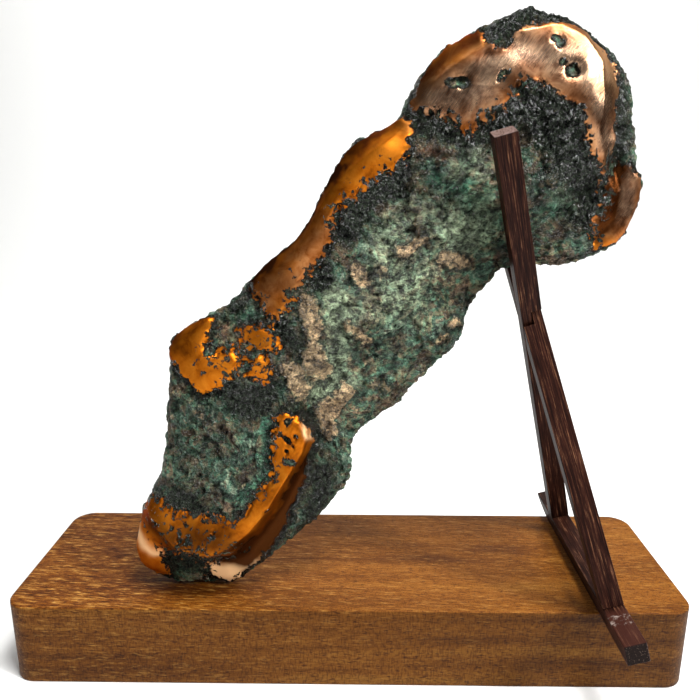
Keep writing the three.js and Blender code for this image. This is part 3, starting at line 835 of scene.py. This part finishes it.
def rail(material):
    """The foot rail: a square bar whose underside sweeps up, as a square curve, to a thin toe."""
    along_rail = np.concatenate([
        [RAIL_FRONT, RAIL_FRONT + 0.3],
        np.linspace(RAIL_FRONT + 3, RAIL_BACK - TOE_LENGTH, 24),
        np.linspace(RAIL_BACK - TOE_LENGTH, RAIL_BACK, 14)[1:-1],
        [RAIL_BACK - 0.3, RAIL_BACK],
    ])
    sections = []
    for k, y in enumerate(along_rail):
        rise = TOE_RISE * max(0, (y - RAIL_BACK + TOE_LENGTH) / TOE_LENGTH) ** 2
        trim = 0.3 if k in (0, len(along_rail) - 1) else 0.0
        outline = rounded_section((trim, rise + trim), (STICK_WIDTH - trim, STICK_WIDTH - trim))
        sections.append((outline, np.full(len(outline), y)))

    def place(x, z, y):
        """A point of the rail in the model's frame."""
        return stand_to_model(np.column_stack([x, y, z]))

    points, faces, pattern = carry_section(sections, place, 0.5)
    # the top is worn from its front end to the front stick's foot, and most beside the foot
    _, height, y = (pattern["grain"] / MM).T
    on_top = ease(height, STICK_WIDTH - 1.0, STICK_WIDTH - 0.4)
    before_foot = 1 - ease(y, FRONT_STICK["foot"] - 6, FRONT_STICK["foot"] - 5)
    pattern["worn"] = on_top * before_foot * (0.6 + 0.4 * ease(y, -72, -62))
    # x, y, z is the other hand from x, e, along, so the faces turn round
    faces = [face[::-1] for face in faces]
    return put_piece("rail_wood", points, faces, material, "foot_rail", pattern,
                     smooth=False)


# ---------------------------------------------------------------- materials
def linear(hex_colour):
    """An sRGB hex colour as linear red, green, blue and alpha."""
    srgb = [int(hex_colour[k:k + 2], 16) / 255 for k in (1, 3, 5)]
    return [c / 12.92 if c <= 0.04045 else ((c + 0.055) / 1.055) ** 2.4 for c in srgb] + [1.0]


def grey(value):
    """A ramp stop that carries a number."""
    return [value, value, value, 1.0]


def per_mm(size):
    """The scale that gives a texture on coordinates in metres features of a size in mm."""
    return 1 / (size * MM)


def add(tree, kind, inputs=None, ramp=None, **settings):
    """Adds a shader node. settings are its properties. inputs gives each socket a number, a
    colour, another node's output, or a node, which stands for its first live output. ramp gives a
    colour ramp's stops, each a place and a colour."""
    made = tree.nodes.new("ShaderNode" + kind)
    for name, value in settings.items():
        setattr(made, name, value)
    for socket, value in (inputs or {}).items():
        if isinstance(value, bpy.types.Node):
            value = next(output for output in value.outputs if output.enabled)
        if isinstance(value, bpy.types.NodeSocket):
            tree.links.new(value, made.inputs[socket])
        else:
            made.inputs[socket].default_value = value
    if ramp:
        stops = made.color_ramp.elements
        while len(stops) < len(ramp):
            stops.new(0.5)
        for stop, (place, colour) in zip(stops, ramp):
            stop.position, stop.color = place, colour
    return made


def start_material(name):
    """An empty material and its node tree."""
    material = bpy.data.materials.new(name)
    material.use_nodes = True
    material.node_tree.nodes.clear()
    return material, material.node_tree


def native_copper():
    """Float copper. Where rock and hands have rubbed it, it is bare metal: orange under a thin oxide,
    its strong orange partly a painted reflection of the wood slab; rose where it is fresh, that pale
    pink partly a painted reflection of white surroundings; dark brown in bands, partly tarnish and
    partly a painted reflection of dark surroundings; brown and finely scratched where it is handled.
    Elsewhere a crust of malachite, cuprite and grit covers it, satin green-black with pale green
    patches and tan scabs, and black and glossy where it is sooty, with painted shade in its hollows
    and painted light on its tops."""
    material, tree = start_material("native_copper_rubbed_and_crusted")
    place = add(tree, "TexCoord").outputs["Object"]
    bare, relief, rose, bronze, dark, malachite, tan, teal, rust, soot, ragged = (
        add(tree, "Attribute", attribute_name=name).outputs["Fac"]
        for name in ["bare", "relief", *TINTS])

    # noises, each with its features' size in millimetres, detail, roughness, distortion, and the
    # distance that keeps it from lying over another
    flakes, grit, cloud, hue, depth_of_tone, swirl = (
        add(tree, "TexNoise", {
            "Vector": add(tree, "Mapping", {"Vector": place, "Location": (away, 0.0, away)}),
            "Scale": per_mm(size), "Detail": detail, "Roughness": rough, "Distortion": twist})
        for size, detail, rough, twist, away in (
            (2.8, 6.0, 0.64, 0.3, 0.0),
            (0.9, 4.0, 0.66, 0.0, 0.23),
            (9.0, 7.0, 0.66, 0.6, 0.0),
            (9.0, 8.0, 0.68, 0.8, 0.31),
            (7.0, 9.0, 0.74, 0.6, 0.47),
            (2.5, 3.0, 0.5, 0.0, 0.0)))
    # flecks that lie flat, like thin layers
    lying = add(tree, "Mapping", {"Vector": place, "Location": (0.11, 0.0, 0.11),
                                  "Scale": (0.75, 1.0, 1.6)})
    fleck = add(tree, "TexNoise", {"Vector": lying, "Scale": per_mm(2.4), "Detail": 6.0,
                                   "Roughness": 0.68, "Distortion": 0.5})
    # chips and knobs, with bent borders
    bend = add(tree, "VectorMath", {0: swirl.outputs["Color"], "Scale": 2.2 * MM},
               operation="SCALE")
    bent = add(tree, "VectorMath", {0: place, 1: bend}, operation="ADD")
    chips = add(tree, "TexVoronoi", {"Vector": bent, "Scale": per_mm(2.2)}, feature="F1")
    chip_lot = add(tree, "SeparateColor", {"Color": chips.outputs["Color"]})
    knobs = add(tree, "TexVoronoi", {"Vector": bent, "Scale": per_mm(1.5)}, feature="F1")
    # scratches, drawn out along one slanting direction: drawn coarser than the real ones, which
    # are too fine to show
    scratches = add(tree, "TexNoise", {
        "Vector": add(tree, "Mapping", {"Vector": place, "Rotation": (0.0, 0.6, 0.0),
                                        "Scale": (0.05, 1.0, 1.0)}, vector_type="TEXTURE"),
        "Scale": per_mm(9.0), "Detail": 5.0, "Roughness": 0.7})

    # bare metal where the depth inside a bare patch beats the noise of its broken edge
    reach = add(tree, "MapRange", {0: ragged, 1: 0.0, 2: 1.0, 3: 10.0, 4: 54.0})
    bite = add(tree, "Math", {0: flakes, 1: 0.5}, operation="SUBTRACT")
    bite = add(tree, "Math", {0: bite, 1: reach}, operation="MULTIPLY")
    depth = add(tree, "Math", {0: bare, 1: bite}, operation="ADD")
    is_bare = add(tree, "MapRange", {0: depth, 1: -0.10, 2: 0.20, 3: 0.0, 4: 1.0})
    near_edge = add(tree, "MapRange", {0: depth, 1: -7.0, 2: -2.5, 3: 0.0, 4: 1.0})

    # the metal: orange oxide, its strong orange partly a painted reflection of the wood slab
    metal = add(tree, "ValToRGB", {0: cloud}, ramp=[
        (0.32, linear("#7E3E08")), (0.46, linear("#B66210")), (0.60, linear("#C8761C")),
        (0.74, linear("#8E4A10"))])
    bronze_tone = add(tree, "ValToRGB", {0: cloud}, ramp=[
        (0.36, linear("#4E3628")), (0.48, linear("#866A56")), (0.60, linear("#B49478"))])
    # the rose and dark tones are partly painted reflections, of white and of dark surroundings
    for share, tone in ((bronze, bronze_tone), (rose, linear("#FFCE98")), (dark, linear("#42220C"))):
        cover = add(tree, "Math", {0: share, 1: 1.0}, operation="MINIMUM")
        metal = add(tree, "Mix", {0: cover, 6: metal, 7: tone}, data_type="RGBA")

    # relief, in millimetres: chips at their own heights, flecks and grit stand over the metal, and
    # round beads where the crust is sooty
    sooty = add(tree, "Math", {0: soot, 1: near_edge}, operation="MAXIMUM", use_clamp=True)
    beads = add(tree, "MapRange", {0: knobs.outputs["Distance"], 1: 0.1, 2: 0.7, 3: 1.4, 4: 0.0})
    beads = add(tree, "Math", {0: beads, 1: sooty}, operation="MULTIPLY")
    height = add(tree, "Math", {0: chip_lot.outputs["Green"], 1: 0.5, 2: beads},
                 operation="MULTIPLY_ADD")
    height = add(tree, "Math", {0: fleck, 1: 2.4, 2: height}, operation="MULTIPLY_ADD")
    crust_height = add(tree, "Math", {0: grit, 1: 1.3, 2: height}, operation="MULTIPLY_ADD")
    crusted = add(tree, "Math", {0: 1.0, 1: is_bare}, operation="SUBTRACT")
    height = add(tree, "Math", {0: crust_height, 1: crusted}, operation="MULTIPLY")
    brushed = add(tree, "Math", {0: bronze, 1: 0.10, 2: 0.004}, operation="MULTIPLY_ADD")
    height = add(tree, "Math", {0: scratches, 1: brushed, 2: height}, operation="MULTIPLY_ADD")
    bump = add(tree, "Bump", {"Strength": 1.0, "Distance": 1.8 * MM, "Height": height})

    # the crust: green and brown in patches, light and dark in smaller ones, single chips of tan
    crust = add(tree, "ValToRGB", {0: hue}, ramp=[
        (0.36, linear("#5A4232")), (0.43, linear("#6E6048")), (0.48, linear("#646C52")),
        (0.53, linear("#40604A")), (0.58, linear("#4C6A58")), (0.66, linear("#86937A"))])
    chip_tan = add(tree, "ValToRGB", {0: chip_lot.outputs["Red"]}, ramp=[
        (0.80, grey(0.0)), (0.84, grey(0.7))])
    crust = add(tree, "Mix", {0: chip_tan, 6: crust, 7: linear("#6E5A46")}, data_type="RGBA")
    for share, low, high, tone in ((teal, 0.20, 0.44, "#30644E"), (malachite, 0.20, 0.48, "#8A9A7C"),
                                   (tan, 0.24, 0.34, "#9C8262"), (rust, 0.20, 0.50, "#6A3C22")):
        broken = add(tree, "Math", {0: share, 1: flakes}, operation="MULTIPLY")
        cover = add(tree, "MapRange", {0: broken, 1: low, 2: high, 3: 0.0, 4: 0.9})
        crust = add(tree, "Mix", {0: cover, 6: crust, 7: linear(tone)}, data_type="RGBA")
    # a dark line round each tan scab
    scab = add(tree, "Math", {0: tan, 1: flakes}, operation="MULTIPLY")
    outline = add(tree, "ValToRGB", {0: scab}, ramp=[
        (0.16, grey(1.0)), (0.22, grey(0.22)), (0.26, grey(0.30)), (0.31, grey(1.0))])
    crust = add(tree, "Mix", {0: 1.0, 6: crust, 7: outline}, data_type="RGBA",
                blend_type="MULTIPLY")
    # painted shade in crevices, painted light on tops, by height and relief; then random tone
    for source, low, high, stops in (
            (crust_height, 1.35, 2.65, [(0.0, 0.04), (0.30, 0.38), (0.52, 1.2), (0.75, 2.8)]),
            (relief, -2.5, 1.5, [(0.05, 0.25), (0.35, 0.70), (0.6, 1.10), (1.0, 1.4)]),
            (depth_of_tone, 0.35, 0.65, [(0.0, 0.25), (0.45, 0.65), (0.7, 1.1), (1.0, 1.6)])):
        level = add(tree, "MapRange", {0: source, 1: low, 2: high, 3: 0.0, 4: 1.0})
        shade = add(tree, "ValToRGB", {0: level}, ramp=[(p, grey(g)) for p, g in stops])
        crust = add(tree, "Mix", {0: 1.0, 6: crust, 7: shade}, data_type="RGBA",
                    blend_type="MULTIPLY")
    # soot, darker in hollows as painted shade, and a brown film where it thins out over the metal
    level = add(tree, "MapRange", {0: crust_height, 1: 1.4, 2: 3.0, 3: 0.0, 4: 1.0})
    soot_tone = add(tree, "ValToRGB", {0: level}, ramp=[
        (0.0, linear("#030403")), (0.5, linear("#12150F")), (1.0, linear("#30382C"))])
    crust = add(tree, "Mix", {0: sooty, 6: crust, 7: soot_tone}, data_type="RGBA")
    film = add(tree, "MapRange", {0: depth, 1: -2.2, 2: -0.2, 3: 0.0, 4: 0.7})
    crust = add(tree, "Mix", {0: film, 6: crust, 7: linear("#34261F")}, data_type="RGBA")

    # glossy soot, satin film on orange metal, brushed bronze, and a matt skin on rose metal, whose
    # pale pink is partly a painted reflection of white
    colour = add(tree, "Mix", {0: is_bare, 6: crust, 7: metal}, data_type="RGBA")
    crust_rough = add(tree, "MapRange", {0: sooty, 1: 0.0, 2: 1.0, 3: 0.38, 4: 0.12})
    film_rough = add(tree, "MapRange", {0: cloud, 1: 0.3, 2: 0.7, 3: 0.40, 4: 0.50})
    brushed_rough = add(tree, "MapRange", {0: scratches, 1: 0.3, 2: 0.7, 3: 0.18, 4: 0.32})
    metal_rough = add(tree, "Mix", {0: bronze, 2: film_rough, 3: brushed_rough}, data_type="FLOAT")
    rough = add(tree, "Mix", {0: is_bare, 2: crust_rough, 3: metal_rough}, data_type="FLOAT")
    shine = add(tree, "MapRange", {0: rose, 1: 0.3, 2: 1.0, 3: 0.88, 4: 0.15})
    # where the metal is dark its edge tint is dark too, so that the painted dark reflection stays
    # dark at grazing angles
    edge_tone = add(tree, "Mix", {0: dark, 6: linear("#E0A878"), 7: linear("#4A2810")},
                    data_type="RGBA")
    edge_tone = add(tree, "Mix", {0: is_bare, 6: linear("#FFFFFF"), 7: edge_tone},
                    data_type="RGBA")
    metallic = add(tree, "Math", {0: is_bare, 1: shine}, operation="MULTIPLY")
    shader = add(tree, "BsdfPrincipled", {"Base Color": colour, "Roughness": rough,
                                          "Metallic": metallic, "Normal": bump,
                                          "Specular Tint": edge_tone})
    add(tree, "OutputMaterial", {"Surface": shader})
    return material


def slab_hardwood():
    """Planed and oiled hardwood: golden brown, the grain along the slab. It gives soft bands, thin
    and level on the sides, short wavering streaks of yellow and red-brown that are strongest on
    top at the left end, fine dark pores and a dull sheen."""
    material, tree = start_material("oiled_golden_hardwood")
    place = add(tree, "TexCoord").outputs["Object"]

    # noises drawn out along the grain, each with its size in millimetres, how many times that it
    # runs along the slab and across it, its tilt, detail and roughness. The pores are drawn
    # coarser than the real ones, which are too fine to show
    bands, streaks, pores = (
        add(tree, "TexNoise", {
            "Vector": add(tree, "Mapping", {"Vector": place, "Rotation": (0.0, 0.0, tilt),
                                            "Scale": (long, wide, 1.0)}, vector_type="TEXTURE"),
            "Scale": per_mm(size), "Detail": detail, "Roughness": rough, "Distortion": 0.25})
        for size, long, wide, tilt, detail, rough in (
            (6.0, 22.0, 2.2, 0.0, 3.0, 0.5),
            (1.0, 7.0, 1.0, -0.06, 4.0, 0.72),
            (0.5, 6.0, 1.0, -0.06, 2.0, 0.5)))
    flecks = add(tree, "TexNoise", {
        "Vector": add(tree, "Mapping", {"Vector": place, "Scale": (1.0, 1.0, 0.30)}),
        "Scale": per_mm(0.7), "Detail": 2.0, "Roughness": 0.5})
    side = add(tree, "SeparateXYZ", {0: add(tree, "NewGeometry").outputs["Normal"]})
    upward = add(tree, "MapRange", {0: side.outputs["Z"], 1: 0.3, 2: 0.7, 3: 0.0, 4: 1.0})
    along = add(tree, "SeparateXYZ", {0: place})
    leftward = add(tree, "MapRange", {0: along.outputs["X"], 1: -0.11, 2: 0.01, 3: 1.0, 4: 0.40})
    strength = add(tree, "MapRange", {0: upward, 1: 0.0, 2: 1.0, 3: 0.35, 4: 1.0})
    strength = add(tree, "Math", {0: strength, 1: leftward}, operation="MULTIPLY")

    colour = add(tree, "ValToRGB", {0: bands}, ramp=[
        (0.30, linear("#633808")), (0.45, linear("#7C4C12")), (0.58, linear("#8B581A")),
        (0.74, linear("#976624"))])
    for texture, cover, stops in (
            (streaks, strength, [(0.34, "#6C4C30"), (0.47, "#DCC8B4"), (0.56, "#FFF6E0"),
                                 (0.70, "#FFFFFF")]),
            (pores, 0.8, [(0.34, "#8A7060"), (0.44, "#F4EEE6"), (0.62, "#FFFFFF")]),
            (flecks, 0.8, [(0.36, "#B8A898"), (0.50, "#F0E8DE"), (0.66, "#FFFFFF")])):
        shade = add(tree, "ValToRGB", {0: texture}, ramp=[(p, linear(h)) for p, h in stops])
        colour = add(tree, "Mix", {0: cover, 6: colour, 7: shade}, data_type="RGBA",
                     blend_type="MULTIPLY")
    # painted shade: the sides are darker than the top, most at the right end
    on_side = add(tree, "MapRange", {0: along.outputs["X"], 1: 0.02, 2: 0.15, 3: 0.66, 4: 0.42})
    painted_side_shade = add(tree, "MapRange", {0: upward, 1: 0.0, 2: 1.0, 3: on_side, 4: 1.0})
    colour = add(tree, "Mix", {0: 1.0, 6: colour, 7: painted_side_shade}, data_type="RGBA",
                 blend_type="MULTIPLY")
    bright = add(tree, "MapRange", {0: streaks, 1: 0.55, 2: 0.68, 3: 0.0, 4: 0.75})
    bright = add(tree, "Math", {0: bright, 1: strength}, operation="MULTIPLY")
    colour = add(tree, "Mix", {0: bright, 6: colour, 7: linear("#D09A4C")}, data_type="RGBA")
    rough = add(tree, "MapRange", {0: streaks, 1: 0.3, 2: 0.7, 3: 0.66, 4: 0.50})
    bump = add(tree, "Bump", {"Strength": 0.5, "Distance": 0.12 * MM, "Height": pores})
    shader = add(tree, "BsdfPrincipled", {"Base Color": colour, "Roughness": rough,
                                          "Normal": bump, "Specular IOR Level": 0.12})
    add(tree, "OutputMaterial", {"Surface": shader})
    return material


def stand_dark_wood():
    """Wenge, sawn and lightly sanded: dark chocolate with thin tan lines along each stick. Sawn
    across it is grey-brown with dark pores, and nearly black with pale pores at the rail's front,
    where white traces of glue lie on top beside the joint."""
    material, tree = start_material("sanded_wenge")
    grain = add(tree, "Attribute", attribute_name="grain").outputs["Vector"]
    sawn = add(tree, "Attribute", attribute_name="sawn_end").outputs["Fac"]
    worn = add(tree, "Attribute", attribute_name="worn").outputs["Fac"]
    drawn_out = add(tree, "Mapping", {"Vector": grain, "Scale": (1.0, 1.0, 0.035)})
    # thin lines, broader bands, blotches of glue, and the pores that show on sawn ends
    lines = add(tree, "TexNoise", {"Vector": drawn_out, "Scale": per_mm(0.6), "Detail": 5.0,
                                   "Roughness": 0.75})
    broad = add(tree, "TexNoise", {"Vector": drawn_out, "Scale": per_mm(4.0), "Detail": 3.0,
                                   "Roughness": 0.6})
    blotch = add(tree, "TexNoise", {"Vector": grain, "Scale": per_mm(2.2), "Detail": 4.0,
                                    "Roughness": 0.7})
    pores = add(tree, "TexVoronoi", {"Vector": grain, "Scale": per_mm(0.8)}, feature="F1")
    tone = add(tree, "ValToRGB", {0: lines}, ramp=[
        (0.38, linear("#120604")), (0.50, linear("#26110B")), (0.58, linear("#3A2017")),
        (0.66, linear("#7A543C"))])
    shade = add(tree, "ValToRGB", {0: broad}, ramp=[(0.35, grey(0.70)), (0.65, grey(1.30))])
    side = add(tree, "Mix", {0: 1.0, 6: tone, 7: shade}, data_type="RGBA", blend_type="MULTIPLY")
    # the rail's worn top, and the glue on it
    polished = add(tree, "MapRange", {0: worn, 1: 0.0, 2: 0.6, 3: 0.0, 4: 0.75})
    side = add(tree, "Mix", {0: polished, 6: side, 7: linear("#3E2018")}, data_type="RGBA")
    glue = add(tree, "Math", {0: blotch, 1: worn}, operation="MULTIPLY")
    glue = add(tree, "MapRange", {0: glue, 1: 0.46, 2: 0.60, 3: 0.0, 4: 0.8})
    side = add(tree, "Mix", {0: glue, 6: side, 7: linear("#A09086")}, data_type="RGBA")
    # sawn ends
    pale_end = add(tree, "ValToRGB", {0: pores.outputs["Distance"]}, ramp=[
        (0.10, linear("#221812")), (0.30, linear("#5A463E")), (0.60, linear("#74605A"))])
    dark_end = add(tree, "ValToRGB", {0: pores.outputs["Distance"]}, ramp=[
        (0.10, linear("#6A5A50")), (0.22, linear("#1E120E")), (0.60, linear("#140B08"))])
    is_dark = add(tree, "MapRange", {0: sawn, 1: 0.5, 2: 1.0, 3: 1.0, 4: 0.0})
    end = add(tree, "Mix", {0: is_dark, 6: pale_end, 7: dark_end}, data_type="RGBA")
    is_end = add(tree, "MapRange", {0: sawn, 1: 0.0, 2: 0.5, 3: 0.0, 4: 1.0})
    colour = add(tree, "Mix", {0: is_end, 6: side, 7: end}, data_type="RGBA")
    bump = add(tree, "Bump", {"Strength": 0.6, "Distance": 0.12 * MM, "Height": lines})
    shader = add(tree, "BsdfPrincipled", {"Base Color": colour, "Roughness": 0.5, "Normal": bump,
                                          "Specular IOR Level": 0.06})
    add(tree, "OutputMaterial", {"Surface": shader})
    return material


def studio_paper():
    """A sweep of matt white studio paper."""
    material, tree = start_material("white_studio_paper")
    shader = add(tree, "BsdfPrincipled", {"Base Color": linear("#F4F4F2"), "Roughness": 0.9})
    add(tree, "OutputMaterial", {"Surface": shader})
    return material


# ---------------------------------------------------------------- studio, in metres
def sweep():
    """The floor: paper that lies flat under the slab and curves up behind it into a low wall."""
    flat_from, flat_to, radius, wall_top, half_width = -2.0, 0.8, 0.7, 1.2, 1.7
    turn = np.linspace(0, math.pi / 2, 17)
    profile = [(flat_from, 0.0)]
    profile += [(flat_to + radius * math.sin(a), radius * (1 - math.cos(a))) for a in turn]
    profile.append((flat_to + radius, wall_top))
    points = [(x, y, z) for y, z in profile for x in (-half_width, half_width)]
    faces = [(2 * k, 2 * k + 1, 2 * k + 3, 2 * k + 2) for k in range(len(profile) - 1)]
    mesh = bpy.data.meshes.new("paper_sweep")
    mesh.from_pydata(points, [], faces)
    mesh.polygons.foreach_set("use_smooth", np.ones(len(faces), bool))
    mesh.materials.append(studio_paper())
    floor = bpy.data.objects.new("paper_sweep", mesh)
    bpy.context.scene.collection.objects.link(floor)


def softbox(name, where, size, watts, target=(0.0, 0.0, 0.12)):
    """A soft rectangular studio light that points at a place."""
    lamp = bpy.data.lights.new(name, "AREA")
    lamp.shape, lamp.size, lamp.size_y, lamp.energy = "RECTANGLE", *size, watts
    light = bpy.data.objects.new(name, lamp)
    light.location = where
    direction = Vector(target) - Vector(where)
    light.rotation_euler = direction.to_track_quat("-Z", "Y").to_euler()
    bpy.context.scene.collection.objects.link(light)


def studio():
    """Light from a softbox above and a little to the right, a bright box at the right that the
    head's curve reflects, a broad weak one at the front, a wash on the paper behind, and the
    camera."""
    sweep()
    softbox("overhead", (0.22, -0.30, 1.05), (0.28, 0.28), 11.5)
    softbox("right", (0.75, -0.45, 0.75), (0.16, 0.26), 11.0)
    softbox("front", (-0.25, -1.25, 0.60), (0.8, 0.6), 2.2)
    softbox("paper wash", (0.0, 0.55, 1.35), (1.6, 0.3), 18.0, target=(0.0, 1.45, 0.35))
    world = bpy.data.worlds.new("studio_air")
    world.use_nodes = True
    world.node_tree.nodes["Background"].inputs["Color"].default_value = grey(0.06)
    bpy.context.scene.world = world
    lens = bpy.data.cameras.new("camera")
    lens.lens, lens.sensor_width = 34.97, 36.0
    camera = bpy.data.objects.new("camera", lens)
    camera.location = (0.0044, -0.3119, 0.2301)
    camera.rotation_euler = [math.radians(a) for a in (75.47, -0.07, 0.74)]
    bpy.context.scene.collection.objects.link(camera)
    bpy.context.scene.camera = camera
    bpy.context.scene.view_settings.view_transform = "Standard"


# ---------------------------------------------------------------- the object
studio()
nugget(native_copper())
slab(slab_hardwood())
wenge = stand_dark_wood()
stick("front", FRONT_STICK, BACK_STICK, True, wenge)
stick("back", BACK_STICK, FRONT_STICK, False, wenge)
rail(wenge)
